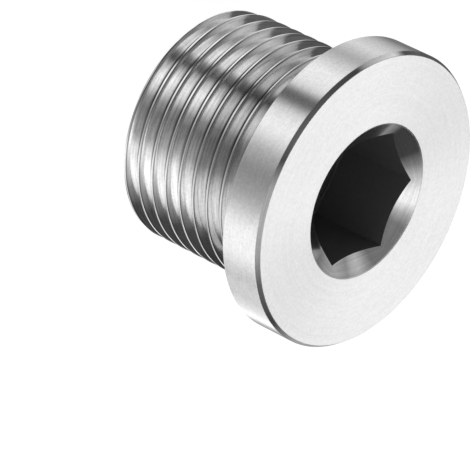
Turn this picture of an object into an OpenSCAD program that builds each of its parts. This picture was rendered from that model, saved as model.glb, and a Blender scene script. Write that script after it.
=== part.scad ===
// Hexagon socket screw plug with a collar: one piece, turned from steel bar.
// The origin is the centre of the sealing face under the collar. +Z points out of the head,
// and the threaded shank hangs below the origin, so the plug stands on its threaded end.

/* [Collar] */
// Outside diameter of the collar
collar_d = 25; // [23:0.5:40]
// Thickness of the collar, from the sealing face to the head face
collar_h = 3.85; // [3:0.05:8]
// Bevel round the rim of the head face, measured across the face
rim_bevel_w = 0.25; // [0.1:0.05:0.6]
// The same bevel, measured down the side of the collar
rim_bevel_h = 0.35; // [0.1:0.05:0.6]
// Edge broken between the collar's side and its sealing face
seat_edge = 0.1; // [0.05:0.05:0.3]

/* [Shank] */
// Length from the sealing face to the free end
shank_len = 13.65; // [11:0.05:24]
// Bevel round the free end
end_bevel = 0.25; // [0.1:0.05:0.8]

/* [Thread] */
// Diameter over the crests of the thread
thread_d = 19.75; // [19.7:0.05:20]
// Advance in one turn, right-handed
pitch = 1.5; // [1.25:0.25:1.5]
// Depth of the groove, from crest to root
groove_depth = 0.92; // [0.6:0.02:0.92]
// Angle between the two flanks of the groove
flank_angle = 60; // [50:1:60]
// Width of the flat along the top of each crest
crest_land = 0.22; // [0.15:0.01:0.3]
// Height of the middle of the groove above the free end, on the +X side
groove_lift = 1.39; // [0:0.01:1.5]
// Part of a turn over which the cutter backs out at the groove's end
runout_turns = 0.28; // [0.1:0.02:1]
// Height from the middle of the groove's end up to the sealing face
plain_len = 1.55; // [1.2:0.05:4]

/* [Socket] */
// Width across the flats of the hexagon
socket_af = 10; // [6:1:10]
// Depth of the hexagon below the head face
socket_depth = 7.5; // [5:0.5:9]
// Diameter of the countersink at the head face
sink_d = 13.2; // [12.4:0.1:16]
// Angle of the countersink
sink_angle = 120; // [90:5:130]
// Diameter of the hole drilled before the hexagon is cut
pilot_d = 9.8; // [5:0.1:9.8]
// Depth of that hole's straight part below the head face
pilot_depth = 8.5; // [8:0.1:10]
// Angle of the drill's point
drill_angle = 118; // [90:1:140]

/* [Hidden] */
$fn = 96;
collar_r = collar_d / 2;
thread_r = thread_d / 2;
head_z = collar_h;
end_z = -shank_len;
// Height that a flank climbs for each mm of radius, and how far the cutter stands outside the crests.
flank_slope = tan(flank_angle / 2);
cutter_over = 0.12;
groove_top = (pitch - crest_land) / 2;
groove_foot = groove_top - groove_depth * flank_slope;
// Stations of the cutter in each turn, and the turns at which it starts and stops,
// counted from the groove that lies groove_lift above the free end.
stations = 48;
first_turn = -ceil((groove_lift + pitch) / pitch * stations) / stations;
last_turn = round((shank_len - plain_len - groove_lift) / pitch * stations) / stations;
// The socket's cutters reach this far past the faces that they open.
past = 1;

// Half section of the plain turned blank, from the axis out and down.
module blank() {
    rotate_extrude()
        polygon([
            [0, head_z],
            [collar_r - rim_bevel_w, head_z],
            [collar_r, head_z - rim_bevel_h],
            [collar_r, seat_edge],
            [collar_r - seat_edge, 0],
            [thread_r, 0],
            [thread_r, end_z + end_bevel],
            [thread_r - end_bevel, end_z],
            [0, end_z]
        ]);
}

// How far the cutter has backed out of the metal at a turn: 0 while it cuts to full depth.
function backed_out(turn) =
    max(0, 1 - (last_turn - turn) / runout_turns) * (groove_depth + cutter_over / 2);

// The cutter's section at a turn: the two corners at the root, then the two outside the crests.
function groove_section(turn) =
    let (
        z = end_z + groove_lift + pitch * turn,
        root_r = thread_r - groove_depth + backed_out(turn),
        top_r = thread_r + cutter_over,
        top_half = groove_foot + (top_r - root_r) * flank_slope
    ) [
        for (corner = [[root_r, -groove_foot], [root_r, groove_foot], [top_r, top_half], [top_r, -top_half]])
            [corner[0] * cos(360 * turn), corner[0] * sin(360 * turn), z + corner[1]]
    ];

// The cutter for the thread's groove: the section swept along the helix.
module groove_cutter() {
    count = round((last_turn - first_turn) * stations);
    points = [for (i = [0 : count]) each groove_section(first_turn + i / stations)];
    sides = [
        for (i = [0 : count - 1], k = [0 : 3])
            let (a = 4 * i + k, b = 4 * i + (k + 1) % 4)
                each [[a, a + 4, b + 4], [a, b + 4, b]]
    ];
    last = 4 * count;
    ends = [[0, 1, 2], [0, 2, 3], [last, last + 2, last + 1], [last, last + 3, last + 2]];
    polyhedron(points = points, faces = concat(sides, ends), convexity = 20);
}

// The drilled and broached hole, with its countersunk mouth.
module socket_cutter() {
    sink_h = sink_d / 2 / tan(sink_angle / 2);
    point_h = pilot_d / 2 / tan(drill_angle / 2);
    translate([0, 0, head_z - socket_depth])
        cylinder(d = socket_af / cos(30), h = socket_depth + past, $fn = 6);
    translate([0, 0, head_z - pilot_depth])
        cylinder(d = pilot_d, h = pilot_depth + past);
    translate([0, 0, head_z - pilot_depth - point_h])
        cylinder(d1 = 0, d2 = pilot_d, h = point_h);
    translate([0, 0, head_z - sink_h])
        cylinder(d1 = 0, d2 = sink_d, h = sink_h);
}

module plug() {
    color("silver")
        difference() {
            blank();
            groove_cutter();
            socket_cutter();
        }
}

plug();
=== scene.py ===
"""A hexagon socket screw plug, turned from one piece of steel, standing on its threaded end."""
from math import ceil, cos, pi, radians, sin, tan

import bmesh
import bpy
import numpy as np
from mathutils import Matrix, Vector


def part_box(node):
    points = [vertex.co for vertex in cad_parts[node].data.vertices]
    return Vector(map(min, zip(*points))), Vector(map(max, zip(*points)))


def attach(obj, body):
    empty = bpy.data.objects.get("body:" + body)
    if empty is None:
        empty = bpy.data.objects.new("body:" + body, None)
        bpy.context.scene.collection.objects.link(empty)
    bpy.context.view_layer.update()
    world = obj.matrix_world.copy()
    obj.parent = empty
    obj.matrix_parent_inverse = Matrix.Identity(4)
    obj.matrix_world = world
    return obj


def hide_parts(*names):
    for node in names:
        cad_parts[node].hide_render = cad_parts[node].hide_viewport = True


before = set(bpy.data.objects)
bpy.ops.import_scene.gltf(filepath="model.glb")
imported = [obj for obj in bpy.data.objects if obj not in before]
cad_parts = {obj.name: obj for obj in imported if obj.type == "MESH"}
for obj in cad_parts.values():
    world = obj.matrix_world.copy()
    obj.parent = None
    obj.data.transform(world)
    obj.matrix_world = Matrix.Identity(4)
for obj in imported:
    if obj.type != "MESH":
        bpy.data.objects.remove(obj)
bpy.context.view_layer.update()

# Camera. A long lens stands far off and looks down on the head. It is rolled, so that the plug's
# axis points down to the right in the picture. Lens and sensor are in mm.
MM = 0.001
UP = Vector((0, 0, 1))
LENS = 350.3
SENSOR = 36.0
CLIP_START = 0.01
CLIP_END = 10.0
AIM = Vector((7.02, -0.47, -6.12)) * MM
DISTANCE = 365.6 * MM
AZIMUTH = radians(-3.55)
ELEVATION = radians(35.84)
ROLL = radians(116.83)

back = Vector((sin(AZIMUTH) * cos(ELEVATION), -cos(AZIMUTH) * cos(ELEVATION), sin(ELEVATION)))
level = UP.cross(back).normalized()
upright = back.cross(level)
camera_x = level * cos(ROLL) + upright * sin(ROLL)
camera_y = back.cross(camera_x)
lens = bpy.data.cameras.new("view")
lens.lens = LENS
lens.sensor_width = SENSOR
lens.clip_start = CLIP_START
lens.clip_end = CLIP_END
camera = bpy.data.objects.new("view", lens)
turned_to_view = Matrix((camera_x, camera_y, back)).transposed().to_4x4()
camera.matrix_world = Matrix.Translation(AIM + back * DISTANCE) @ turned_to_view
bpy.context.scene.collection.objects.link(camera)
bpy.context.scene.camera = camera

# Head. A round collar with a bevelled rim, faced flat. The socket is drilled, broached to a
# hexagon and countersunk. It is all one piece of steel with the shank. Sizes are in mm.
RIM_BEVEL_W = 0.25
RIM_BEVEL_H = 0.35
SEAT_EDGE = 0.1
SOCKET_AF = 10.0
SOCKET_DEPTH = 7.5
SINK_R = 6.6
SINK_SLOPE = tan(radians(60))
PILOT_R = 4.9
PILOT_DEPTH = 8.5
POINT_SLOPE = tan(radians(59))
THREAD_R = 9.875
EDGE_R = 0.045
SEAT_ROOT_R = 0.08
# Columns of the skin round the axis.
COLUMNS = 312
# How far from each rounding a row stands that keeps the straight run beside it flat.
HOLD = 0.03
# Heights of the rows on the plain strip below the collar, down to the thread's first row.
PLAIN_ROWS = (-0.4, -0.8, -1.15)

low_corner, high_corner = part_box("plug")
collar_r = high_corner[0] / MM
head_z = high_corner[2] / MM
end_z = low_corner[2] / MM
azimuth = np.arange(COLUMNS) * 2 * pi / COLUMNS


def turned(corners, steps=4):
    """Rows (r, z) of a turned profile. Each corner (r, z, rounding) becomes an arc that touches both
    of its straight runs: its centre is on the bisector, and it sweeps from one tangent point to the
    other. A row stands just before and just after each arc, so that the runs shade flat."""
    rows = [corners[0][:2]]
    for before, here, after in zip(corners, corners[1:], corners[2:]):
        point = np.array(here[:2])
        to_before = np.array(before[:2]) - point
        to_after = np.array(after[:2]) - point
        to_before /= np.linalg.norm(to_before)
        to_after /= np.linalg.norm(to_after)
        half = np.arccos(to_before @ to_after) / 2
        reach = here[2] / tan(half)
        bisector = (to_before + to_after) / np.linalg.norm(to_before + to_after)
        across = (to_after - to_before) / np.linalg.norm(to_after - to_before)
        centre = point + bisector * here[2] / sin(half)
        sweep = np.linspace(-1, 1, steps + 1)[:, None] * (pi / 2 - half)
        arc = centre + here[2] * (np.sin(sweep) * across - np.cos(sweep) * bisector)
        rows += [point + to_before * (reach + HOLD), *arc, point + to_after * (reach + HOLD)]
    rows.append(corners[-1][:2])
    return np.array([tuple(row) for row in rows])


def round_rows(profile):
    """The same radius and height at every azimuth, for each row of a profile."""
    return [np.repeat(profile[:, k : k + 1], COLUMNS, axis=1) for k in (0, 1)]


def ring(radius, height):
    """One ring. Its radius and height may depend on azimuth."""
    return [np.broadcast_to(value, azimuth.shape) for value in (radius, height)]


def between(start, stop, shares):
    """Rows on the ruled surface between two rings: start + share x (stop - start)."""
    share = np.array(shares)[:, None]
    return [a + share * (b - a) for a, b in zip(start, stop)]


# The hexagon's radius is half its width across flats, over the cosine of the angle from the middle
# of the nearest flat. The broached walls end where the countersink's cone meets them.
hexagon = SOCKET_AF / 2 / np.cos(azimuth % (pi / 3) - pi / 6)
floor_z = head_z - SOCKET_DEPTH
drill_z = head_z - PILOT_DEPTH
tip = ring(0.0, drill_z - PILOT_R / POINT_SLOPE)
drill_edge = ring(PILOT_R, drill_z)
pilot_edge = ring(PILOT_R, floor_z)
floor_edge = ring(hexagon, floor_z)
sink_edge = ring(hexagon, head_z - (SINK_R - hexagon) / SINK_SLOPE)
mouth_z = head_z - 2 * HOLD
mouth_r = SINK_R - 2 * HOLD * SINK_SLOPE
socket_parts = [
    between(tip, drill_edge, (0.0, 0.3, 0.7, 1.0)),
    between(drill_edge, pilot_edge, (0.0, 0.02, 0.98, 1.0)),
    between(pilot_edge, floor_edge, (0.0, 0.04, 0.96, 1.0)),
    between(floor_edge, sink_edge, (0.0, 0.004, 0.3, 0.7, 0.9, 0.996, 1.0)),
]
sink = between(sink_edge, ring(mouth_r, mouth_z), (0.0, 0.03, 0.35, 0.7, 1.0))
rim_inner = (collar_r - RIM_BEVEL_W, head_z, EDGE_R)
rim_outer = (collar_r, head_z - RIM_BEVEL_H, EDGE_R)
face_profile = turned([(mouth_r, mouth_z), (SINK_R, head_z, EDGE_R), rim_inner, rim_outer])[:-1]
collar_profile = turned([
    rim_inner,
    rim_outer,
    (collar_r, SEAT_EDGE, EDGE_R),
    (collar_r - SEAT_EDGE, 0.0, EDGE_R),
    (THREAD_R, 0.0, SEAT_ROOT_R),
    (THREAD_R, PLAIN_ROWS[0]),
])[1:]
face = round_rows(face_profile)
rim = round_rows(np.concatenate([face_profile[-1:], collar_profile[:1]]))
collar = round_rows(collar_profile)

# Shank. A right-hand thread of V grooves, single-point cut in the same bar. The groove runs out
# just below the collar, and the free end has a small bevel.
END_BEVEL = 0.25
PITCH = 1.5
GROOVE_DEPTH = 0.92
FLANK_SLOPE = tan(radians(30))
CREST_LAND = 0.22
GROOVE_LIFT = 1.39
RUNOUT_TURNS = 0.28
PLAIN_LEN = 1.55
CUTTER_OVER = 0.12
STATIONS = 48
CREST_ROUNDING = 0.09
ROOT_ROUNDING = 0.14
BEVEL_ROWS = 10
# Rows beside a groove's middle: on the root, up from the groove's foot and on the flank, in mm, and
# round the crest's corner, in shares of its width.
ROOT_ROW = 0.05
FOOT_ROWS = (0.0, 0.05, 0.1)
FLANK_ROWS = (0.31, 0.41, 0.51)
CORNER_ROWS = (-1.0, -0.5, 0.0, 0.5, 1.0)

thread_top = PLAIN_ROWS[-1]
bevel_z = end_z + END_BEVEL
groove_top = (PITCH - CREST_LAND) / 2
groove_foot = groove_top - GROOVE_DEPTH * FLANK_SLOPE
groove_zero = end_z + GROOVE_LIFT
groove_length = -end_z - PLAIN_LEN - GROOVE_LIFT
last_turn = round(groove_length / PITCH * STATIONS) / STATIONS


def lower_of(a, b, width):
    """The lower of two radii. Over the given width the corner between them is rounded off: the share
    of a goes from 0 to 1, and the mix of the two is lowered by width x share x (1 - share)."""
    share = np.clip(0.5 + 0.5 * (b - a) / width, 0, 1)
    return b + (a - b) * share - width * share * (1 - share)


def shank_radius(z):
    """Radius of the shank in mm: the lower of the plain blank and the groove. The groove's middle
    lies at groove_zero + pitch x turn, where a turn's fraction is the azimuth. Across the groove, the
    radius is flat at the root and rises along the flanks. Near its end the groove backs out."""
    blank = np.minimum(THREAD_R, THREAD_R - END_BEVEL + np.maximum(z - end_z, 0))
    fraction = azimuth / (2 * pi)
    turn = fraction + np.round((z - groove_zero) / PITCH - fraction)
    backed_out = np.maximum(0, 1 - (last_turn - turn) / RUNOUT_TURNS)
    root = THREAD_R - GROOVE_DEPTH + backed_out * (GROOVE_DEPTH + CUTTER_OVER / 2)
    flank = root + (np.abs(z - groove_zero - PITCH * turn) - groove_foot) / FLANK_SLOPE
    groove = -lower_of(-root, -flank, ROOT_ROUNDING)
    return lower_of(groove, blank, CREST_ROUNDING)


def level_rings(heights):
    """Level rings on the shank at the given heights."""
    z = np.repeat(np.array(heights)[:, None], COLUMNS, axis=1)
    return [shank_radius(z), z]


plain = level_rings(PLAIN_ROWS)
end_bevel = level_rings(np.linspace(bevel_z, end_z, BEVEL_ROWS))
end_ring = ring(end_bevel[0][-1], end_z)
end_face = between(end_ring, ring(0.0, end_z), (0.0, 0.01, 0.3, 0.65, 1.0))

# The thread's own rows follow the helix. Their heights beside a groove's middle are closer together
# round the corners of root and crest, and serve every turn. Spare turns pass both ends of the thread,
# where all that lies outside is clipped to the end.
one_side = np.concatenate([
    [ROOT_ROW],
    groove_foot + np.array(FOOT_ROWS),
    FLANK_ROWS,
    groove_top + CREST_ROUNDING * FLANK_SLOPE * np.array(CORNER_ROWS),
])
beside_groove = np.concatenate([[PITCH / 2], one_side[::-1], [0.0], -one_side, [-PITCH / 2]])
rows_a_turn = len(beside_groove)
top_groove = groove_zero + PITCH * (ceil((thread_top - groove_zero) / PITCH) + 1)
turns = ceil((top_groove - bevel_z) / PITCH) + 2
groove_z = np.repeat(top_groove - PITCH * np.arange(turns), rows_a_turn)
groove_z = groove_z[:, None] + PITCH * azimuth / (2 * pi)
helix_z = np.clip(groove_z + np.tile(beside_groove, turns)[:, None], bevel_z, thread_top)
thread = [shank_radius(helix_z), helix_z]

# The whole skin is laid row by row, from the drill's tip out over the head and down the shank, and
# is sewn up where its parts meet. Edges sharper than SHARP_ANGLE shade sharp.
SHADED_SOCKET, TURNED, FACED, THREADED, SUNK = range(5)
SEWING_REACH = 1e-7
SHARP_ANGLE = radians(38)


def run_down(rows):
    """Distance down the profile to each row, measured at azimuth 0, in mm."""
    r, z = rows
    steps = np.hypot(np.diff(r[:, 0]), np.diff(z[:, 0]))
    return np.repeat(np.concatenate([[0.0], np.cumsum(steps)])[:, None], COLUMNS, axis=1)


def laid(rows, finish, lay, wrap=0):
    """Points, quads, finishes and UV for one part of the skin. Columns run round the axis. Rows that
    follow a helix close on the row that stands wrap rows earlier, one turn up. U is azimuth over a
    full turn, and V is the lay, a distance in mm across the tool marks."""
    r, z = rows
    points = np.stack([r * np.cos(azimuth), r * np.sin(azimuth), z], axis=-1).reshape(-1, 3)
    row, column = np.meshgrid(np.arange(wrap, len(r) - 1), np.arange(COLUMNS), indexing="ij")
    next_row = row - np.where(column == COLUMNS - 1, wrap, 0)
    next_column = (column + 1) % COLUMNS
    rows_at = np.stack([row, row + 1, next_row + 1, next_row], axis=-1).reshape(-1, 4)
    columns_at = np.stack([column, column, next_column, next_column], axis=-1).reshape(-1, 4)
    quads = rows_at * COLUMNS + columns_at
    share = np.stack([column, column, column + 1, column + 1], axis=-1).reshape(-1, 4) / COLUMNS
    uv = np.stack([share, lay[rows_at, columns_at]], axis=-1)
    return points * MM, quads, np.full(len(quads), finish), uv.reshape(-1, 2)


# The socket's walls take the steel that is painted dark, as painted shade inside the socket.
parts = [laid(part, SHADED_SOCKET, run_down(part)) for part in socket_parts]
parts += [laid(sink, SUNK, run_down(sink)), laid(face, FACED, run_down(face))]
parts += [laid(rim, SUNK, run_down(rim))]
parts += [laid(collar, TURNED, run_down(collar)), laid(plain, TURNED, run_down(plain))]
parts += [laid(thread, THREADED, helix_z - groove_z + PITCH / 2, wrap=rows_a_turn)]
parts += [laid(end_bevel, THREADED, PITCH + run_down(end_bevel))]
parts += [laid(end_face, TURNED, run_down(end_face))]

points, quads, finishes, uv = zip(*parts)
first = np.cumsum([0] + [len(part) for part in points[:-1]])
points = np.concatenate(points)
quads = np.concatenate([quad + start for quad, start in zip(quads, first)])
finishes = np.concatenate(finishes)
uv = np.concatenate(uv)

mesh = bpy.data.meshes.new("turned_plug")
mesh.vertices.add(len(points))
mesh.vertices.foreach_set("co", points.ravel())
mesh.loops.add(quads.size)
mesh.loops.foreach_set("vertex_index", quads.ravel())
mesh.polygons.add(len(quads))
mesh.polygons.foreach_set("loop_start", np.arange(len(quads)) * 4)
mesh.polygons.foreach_set("material_index", finishes)
mesh.update(calc_edges=True)
mesh.uv_layers.new(name="lay").uv.foreach_set("vector", uv.ravel())
sewing = bmesh.new()
sewing.from_mesh(mesh)
bmesh.ops.remove_doubles(sewing, verts=sewing.verts, dist=SEWING_REACH)
sewing.to_mesh(mesh)
sewing.free()
mesh.shade_smooth()
mesh.set_sharp_from_angle(angle=SHARP_ANGLE)
plug = bpy.data.objects.new("turned_plug", mesh)
bpy.context.scene.collection.objects.link(plug)
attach(plug, "root")
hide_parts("plug")


class Shade:
    """One output of a node. Arithmetic on it adds a Math node, and add() adds any other node."""

    def __init__(self, tree, socket=None):
        self.tree = tree
        self.socket = socket

    def add(self, kind, settings=None, inputs=None, output=0):
        """Add a node. Its settings are set first, a ramp's stops (place, grey) among them. Then
        each input, by name or number, takes a value or another output."""
        node = self.tree.nodes.new("ShaderNode" + kind)
        for name, value in (settings or {}).items():
            if name == "stops":
                while len(node.color_ramp.elements) < len(value):
                    node.color_ramp.elements.new(1.0)
                for element, (place, grey) in zip(node.color_ramp.elements, value):
                    element.position = place
                    element.color = (grey, grey, grey, 1)
            else:
                setattr(node, name, value)
        for name, value in (inputs or {}).items():
            if isinstance(value, Shade):
                self.tree.links.new(value.socket, node.inputs[name])
            else:
                node.inputs[name].default_value = value
        return Shade(self.tree, node.outputs[output] if node.outputs else None)

    def maths(self, operation, *values):
        """Add a Math node on values and outputs."""
        return self.add("Math", {"operation": operation}, dict(enumerate(values)))

    def __add__(self, other):
        return self.maths("ADD", self, other)

    def __radd__(self, other):
        return self.maths("ADD", other, self)

    def __sub__(self, other):
        return self.maths("SUBTRACT", self, other)

    def __rsub__(self, other):
        return self.maths("SUBTRACT", other, self)

    def __mul__(self, other):
        return self.maths("MULTIPLY", self, other)

    def __rmul__(self, other):
        return self.maths("MULTIPLY", other, self)

    def __truediv__(self, other):
        return self.maths("DIVIDE", self, other)

    def __rtruediv__(self, other):
        return self.maths("DIVIDE", other, self)


def fresh_tree(owner):
    """An empty node tree on a material or world."""
    owner.use_nodes = True
    owner.node_tree.nodes.clear()
    return Shade(owner.node_tree)


def smooth(value, start, stop):
    """0 up to start, 1 from stop on, and a smooth step between."""
    settings = {"interpolation_type": "SMOOTHSTEP"}
    return value.add("MapRange", settings, {"Value": value, "From Min": start, "From Max": stop})


def noise(place, scale, detail):
    """Smooth noise about MEAN."""
    return place.add("TexNoise", inputs={"Vector": place, "Scale": scale, "Detail": detail})


# Steel. The bar is bare, its socket walls painted dark grey as painted shade, and each face carries
# the marks of its own tool.
# They run round the axis, and stretch the gloss at a quarter turn to themselves.
MARKS_DETAIL = 3.0
BROAD_DETAIL = 4.0
SPECKS_DETAIL = 1.0
SPECKS_SCALE = 4.2
MEAN = 0.5
QUARTER_TURN = 0.25


def steel(name, grey, shine, bump, grain_and_shade):
    """A steel finish. Tool marks are noise that changes fast along V of the lay and slowly round the
    axis, and they raise the surface by bump mm. The colour is a grey times a tint, which is 1 plus
    broad noise, the marks and fine specks, each less its middle value and times its strength. In the
    thread the tint also carries painted shade: it goes by the place across the groove, and it is
    lighter towards the free end and falls towards the collar. Roughness changes a little with the
    broad noise."""
    material = bpy.data.materials.new(name)
    tree = fresh_tree(material)
    lay = tree.add("UVMap", {"uv_map": "lay"})
    across = tree.add("SeparateXYZ", inputs={"Vector": lay}, output="Y")
    place = tree.add("TexCoord", output="Object")
    where = tree.add("VectorMath", {"operation": "SCALE"}, {"Vector": place, "Scale": 1 / MM})
    x, y, z = [tree.add("SeparateXYZ", inputs={"Vector": where}, output=axis) for axis in "XYZ"]
    slow = grain_and_shade["slow"]
    spot = tree.add("CombineXYZ", inputs={
        "X": (x + z) * slow, "Y": (y - z) * slow, "Z": across * grain_and_shade["fine"]
    })
    marks = noise(spot, 1.0, MARKS_DETAIL)
    broad = noise(where, grain_and_shade["broad"], BROAD_DETAIL)
    specks = noise(where, SPECKS_SCALE, SPECKS_DETAIL)
    tint = 1 + (broad - MEAN) * grain_and_shade["tint"] + (marks - MEAN) * grain_and_shade["streak"]
    tint = tint + (specks - MEAN) * grain_and_shade["speck"]
    # Painted shade across the thread: darker in the root, beside one corner of each crest and on the
    # crest.
    if "across" in grain_and_shade:
        # V starts at the crest below the groove, so the groove's middle is halfway up the pitch.
        stops = [(0.5 + beside / PITCH, shade) for beside, shade in grain_and_shade["across"]]
        tint = tint * tree.add("ValToRGB", {"stops": stops}, {"Fac": across / PITCH})
    # Painted shade: the thread is painted lighter towards its free end and darker towards the collar.
    if "collar_shade" in grain_and_shade:
        start, stop, free_end_tint, collar_tint = grain_and_shade["collar_shade"]
        tint = tint * (free_end_tint + (collar_tint - free_end_tint) * smooth(z, start, stop))
    flat = (grey, grey, grey)
    colour = tree.add("VectorMath", {"operation": "SCALE"}, {"Vector": flat, "Scale": tint})
    relief = tree.add("Bump", inputs={"Strength": 1.0, "Distance": bump * MM, "Height": marks})
    surface = tree.add("BsdfPrincipled", inputs={
        "Base Color": colour,
        "Metallic": shine["metal"],
        "Roughness": shine["rough"] + (broad - MEAN) * shine["patch"],
        "Anisotropic": shine["along"],
        "Anisotropic Rotation": QUARTER_TURN,
        "Normal": relief,
    })
    tree.add("OutputMaterial", inputs={"Surface": surface})
    return material


# Roughness, its change in patches, how metallic the skin is, and how far the gloss is stretched.
SHADED_SOCKET_SHINE = {"rough": 0.5, "patch": 0.1, "metal": 0.4, "along": 0.0}
TURNED_SHINE = {"rough": 0.24, "patch": 0.05, "metal": 1.0, "along": 0.9}
FACED_SHINE = {"rough": 0.3, "patch": 0.06, "metal": 1.0, "along": 0.8}
THREAD_SHINE = {"rough": 0.1, "patch": 0.04, "metal": 1.0, "along": 0.7}
SUNK_SHINE = {"rough": 0.09, "patch": 0.03, "metal": 1.0, "along": 0.7}
# How fast the marks change round the axis and across themselves, the scale of the broad noise, and
# the strengths of the broad tint, the streaks and the specks.
GRAIN = {"slow": 0.5, "fine": 7.0, "broad": 1.4, "tint": 0.12, "streak": 0.2, "speck": 0.26}
FACE_GRAIN = {"slow": 0.15, "fine": 6.0, "broad": 1.6, "tint": 0.17, "streak": 0.16, "speck": 0.2}
SUNK_GRAIN = {"slow": 0.15, "fine": 9.0, "broad": 1.4, "tint": 0.12, "streak": 0.7, "speck": 0.2}
# Painted shade across the thread: a dark root, a dark line beside one corner of each crest and a
# slightly darker crest, by the distance in mm up the shank from the groove's middle.
PAINTED_GROOVE_SHADE = (
    (-0.69, 0.85), (-0.66, 0.6), (-0.61, 0.6), (-0.58, 1.0), (-0.2, 1.0), (-0.1, 0.2),
    (0.06, 0.2), (0.12, 1.0), (0.62, 1.0), (0.66, 0.85),
)
# The painted shade towards the collar starts at one height in mm and is full at the next. Its tints
# are those before and after: the thread is painted lighter towards its free end, darker towards the
# collar.
THREAD_GRAIN_AND_SHADE = {
    "slow": 0.35, "fine": 10.0, "broad": 0.8, "tint": 0.12, "streak": 0.9, "speck": 0.2,
    "across": PAINTED_GROOVE_SHADE, "collar_shade": (-7.2, -5.2, 1.09, 0.87),
}
# Name, grey, shine, height of the marks in mm, and grain, in the order of the finishes above.
for finish in (
    # The socket's steel is painted dark: painted shade inside the deep socket.
    ("socket steel painted dark", 0.2, SHADED_SOCKET_SHINE, 0.0005, GRAIN),
    ("turned steel", 0.8, TURNED_SHINE, 0.0012, GRAIN),
    ("faced steel", 0.8, FACED_SHINE, 0.001, FACE_GRAIN),
    ("threaded steel", 0.82, THREAD_SHINE, 0.0014, THREAD_GRAIN_AND_SHADE),
    ("countersunk steel", 0.8, SUNK_SHINE, 0.0006, SUNK_GRAIN),
):
    mesh.materials.append(steel(*finish))

# Floor. A plain white sheet that the plug stands on. To the camera it is white, with only the
# plug's shade on it. Mirrored rays pass it, and see the studio below.
FLOOR_REACH = 3.0
FLOOR_SHADE = 0.3
WHITE = 1.22


def sheet(name, corners, material):
    """A flat sheet between four corners, which are given in order round it."""
    outline = bpy.data.meshes.new(name)
    outline.from_pydata(corners, [], [(0, 1, 2, 3)])
    outline.materials.append(material)
    piece = bpy.data.objects.new(name, outline)
    bpy.context.scene.collection.objects.link(piece)
    return piece


white_sheet = bpy.data.materials.new("white sheet")
tree = fresh_tree(white_sheet)
seen = tree.add("LightPath", output="Is Camera Ray")
lit = tree.add("BsdfDiffuse", inputs={"Color": (FLOOR_SHADE, FLOOR_SHADE, FLOOR_SHADE, 1)})
glow = tree.add("Emission", inputs={
    "Color": (1, 1, 1, 1), "Strength": seen * (WHITE - FLOOR_SHADE)
})
both = tree.add("AddShader", inputs={0: lit, 1: glow})
tree.add("OutputMaterial", inputs={"Surface": both})
square = ((-1, -1), (1, -1), (1, 1), (-1, 1))
floor_corners = [(x * FLOOR_REACH, y * FLOOR_REACH, low_corner[2]) for x, y in square]
floor = sheet("floor", floor_corners, white_sheet)
floor.visible_glossy = False

# Studio. Soft boxes stand in rings round the plug at five heights, with dark gaps between them, and
# one large soft box hangs behind and above. Each is placed by the turn and the tilt of the steel that
# mirrors it to the camera. Places are degrees round from the camera, with brightness.
UNDER_BOXES = (
    (-120, 0.15), (-70, 0.15), (-54, 0.66), (-44, 0.5), (-32, 0.3), (-22, 0.05), (-12, 0.3),
    (-2, 0.12), (8, 0.12), (18, 0.21), (28, 1.15), (39, 1.5), (49, 0.8), (60, 0.3), (75, 0.15),
    (120, 0.15),
)
LOW_BOXES = (
    (-90, 0.17), (-80, 0.21), (-68, 0.84), (-60, 1.17), (-50, 0.52), (-38, 1.28), (-28, 1.2),
    (-25, 0.14), (-21, 0.13), (-17, 1.05), (-9, 1.33), (0, 0.66), (8, 0.36), (16, 0.5),
    (30, 1.17), (40, 1.09), (52, 0.36), (60, 0.61), (70, 1.07), (76, 1.72), (82, 0.5), (90, 0.29),
)
RAISED_BOXES = (
    (-120, 0.3), (-90, 0.3), (-79, 0.22), (-68, 0.41), (-60, 0.36), (-50, 0.37), (-44, 0.62),
    (-38, 0.88), (-31, 0.8), (-27.5, 0.21), (-23, 0.07), (-18, 0.58), (-12, 1.05), (-6, 0.82),
    (0, 0.3), (6, 0.18), (12, 0.25), (20, 0.42), (27, 1.01), (34, 1.3), (42, 1.3), (48, 1.22),
    (55, 1.58), (62, 1.02), (70, 1.1), (76, 1.3), (82, 0.5), (90, 0.35), (120, 0.3),
)
MIDDLE_BOXES = (
    (-120, 0.3), (-90, 0.3), (-80, 0.14), (-71, 0.08), (-66, 0.8), (-56, 0.53), (-50, 0.38),
    (-46, 0.06), (-30, 0.09), (-8, 0.13), (0, 0.07), (12, 0.42), (26, 0.49), (38, 0.39),
    (50, 0.14), (72, 0.06), (90, 0.43), (120, 0.3),
)
HIGH_BOXES = (
    (-135, 0.28), (-120, 0.08), (-100, 0.33), (-85, 0.44), (-70, 0.3), (-63, 0.46), (-56, 0.52),
    (-42, 0.19), (-25, 0.2), (-5, 0.22), (4, 0.49), (14, 1.14), (22, 1.09), (34, 0.64), (46, 0.24),
    (58, 0.06), (91, 0.05), (97, 0.19), (104, 0.3), (110, 0.08),
)
# The tilts, in degrees, over which each ring takes over from the one below it.
LOW_TILTS = (-16, -5)
RAISED_TILTS = (1, 6)
MIDDLE_TILTS = (18, 27)
HIGH_TILTS = (46, 58)
# The plain brightness below the rings, and the tilts over which the lowest ring takes over from it.
UNDER = 0.15
UNDER_TILTS = (-50, -30)
# The overhead box: brightness, reach along and across, turn, and the shares of its reach over which
# it fades.
OVERHEAD = 1.185
OVERHEAD_REACH = (0.4, 0.2)
OVERHEAD_TURN = radians(-28)
OVERHEAD_FADE = (0.85, 1.15)
# The plain brightness right behind the plug, where the sum of a direction and the camera's has
# almost no length, and the lengths over which the rest takes over from it.
BEHIND = 1.1
BEHIND_LENGTHS = (0.02, 0.07)

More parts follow.
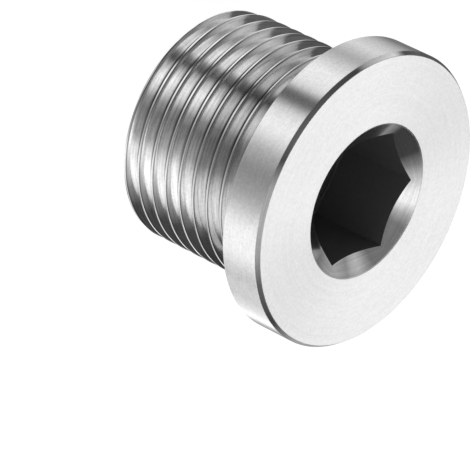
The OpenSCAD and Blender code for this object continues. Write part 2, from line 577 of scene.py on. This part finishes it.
world = bpy.data.worlds.new("studio")
bpy.context.scene.world = world
tree = fresh_tree(world)
middle = UP * (low_corner[2] + high_corner[2]) / 2
to_camera = (camera.matrix_world.translation - middle).normalized()
ahead = Vector((to_camera.x, to_camera.y, 0)).normalized()
beside = UP.cross(ahead)
way = tree.add("TexCoord", output="Generated")
half_way = tree.add("VectorMath", {"operation": "ADD"}, {0: way, 1: to_camera})
length = tree.add("VectorMath", {"operation": "LENGTH"}, {0: half_way}, output="Value")
steel_normal = tree.add("VectorMath", {"operation": "NORMALIZE"}, {0: half_way})


def along(direction):
    """How far the normal of the mirroring steel points along a direction: their dot product."""
    settings = {"operation": "DOT_PRODUCT"}
    return tree.add("VectorMath", settings, {0: steel_normal, 1: direction}, output="Value")


turn = tree.maths("ARCTAN2", along(beside), along(ahead)) * (180 / pi)
tilt = tree.maths("ARCSINE", along(UP)) * (180 / pi)


def boxes(stops):
    """Brightness by turn, from a ramp whose whole length is one full turn."""
    stops = [((place + 180) / 360, grey) for place, grey in stops]
    return tree.add("ValToRGB", {"stops": stops}, {"Fac": turn / 360 + 0.5})


def over(low, high, share):
    """From one brightness to another: low + share x (high - low)."""
    return low + (high - low) * share


light = over(boxes(LOW_BOXES), boxes(RAISED_BOXES), smooth(tilt, *RAISED_TILTS))
light = over(light, boxes(MIDDLE_BOXES), smooth(tilt, *MIDDLE_TILTS))
light = over(light, boxes(HIGH_BOXES), smooth(tilt, *HIGH_TILTS))
lengthwise = cos(OVERHEAD_TURN) * ahead + sin(OVERHEAD_TURN) * beside
crosswise = UP.cross(lengthwise)
reach = [along(side) / size for side, size in zip((lengthwise, crosswise), OVERHEAD_REACH)]
inside = tree.maths("SQRT", reach[0] * reach[0] + reach[1] * reach[1])
light = over(OVERHEAD, light, smooth(inside, *OVERHEAD_FADE))
light = over(boxes(UNDER_BOXES), light, smooth(tilt, *LOW_TILTS))
light = over(UNDER, light, smooth(tilt, *UNDER_TILTS))
light = over(BEHIND, light, smooth(length, *BEHIND_LENGTHS))
# The camera itself sees plain white behind the plug.
light = over(light, 1.0, tree.add("LightPath", output="Is Camera Ray"))
studio = tree.add("Background", inputs={"Color": (1, 1, 1, 1), "Strength": light})
tree.add("OutputWorld", inputs={"Surface": studio})

# Card. An upright grey card stands behind the plug at one side. Only the steel sees it, and it makes
# the dark patches along the far side of the thread. Its two upright edges are given as reach ahead,
# reach beside, bottom and top, in mm.
CARD_EDGES = ((-9.0, -23.7, -5.0, 14.0), (-22.0, -18.0, -13.0, 5.0))
CARD_GREY = 0.11

grey_card = bpy.data.materials.new("grey card")
tree = fresh_tree(grey_card)
shown = tree.add("Emission", inputs={"Color": (CARD_GREY, CARD_GREY, CARD_GREY, 1)})
tree.add("OutputMaterial", inputs={"Surface": shown})
near_edge, far_edge = [
    [(ahead * reach_ahead + beside * reach_beside + UP * height) * MM for height in heights]
    for reach_ahead, reach_beside, *heights in CARD_EDGES
]
card = sheet("card", near_edge + far_edge[::-1], grey_card)
card.visible_camera = False
card.visible_diffuse = False

bpy.context.scene.view_settings.view_transform = "Standard"
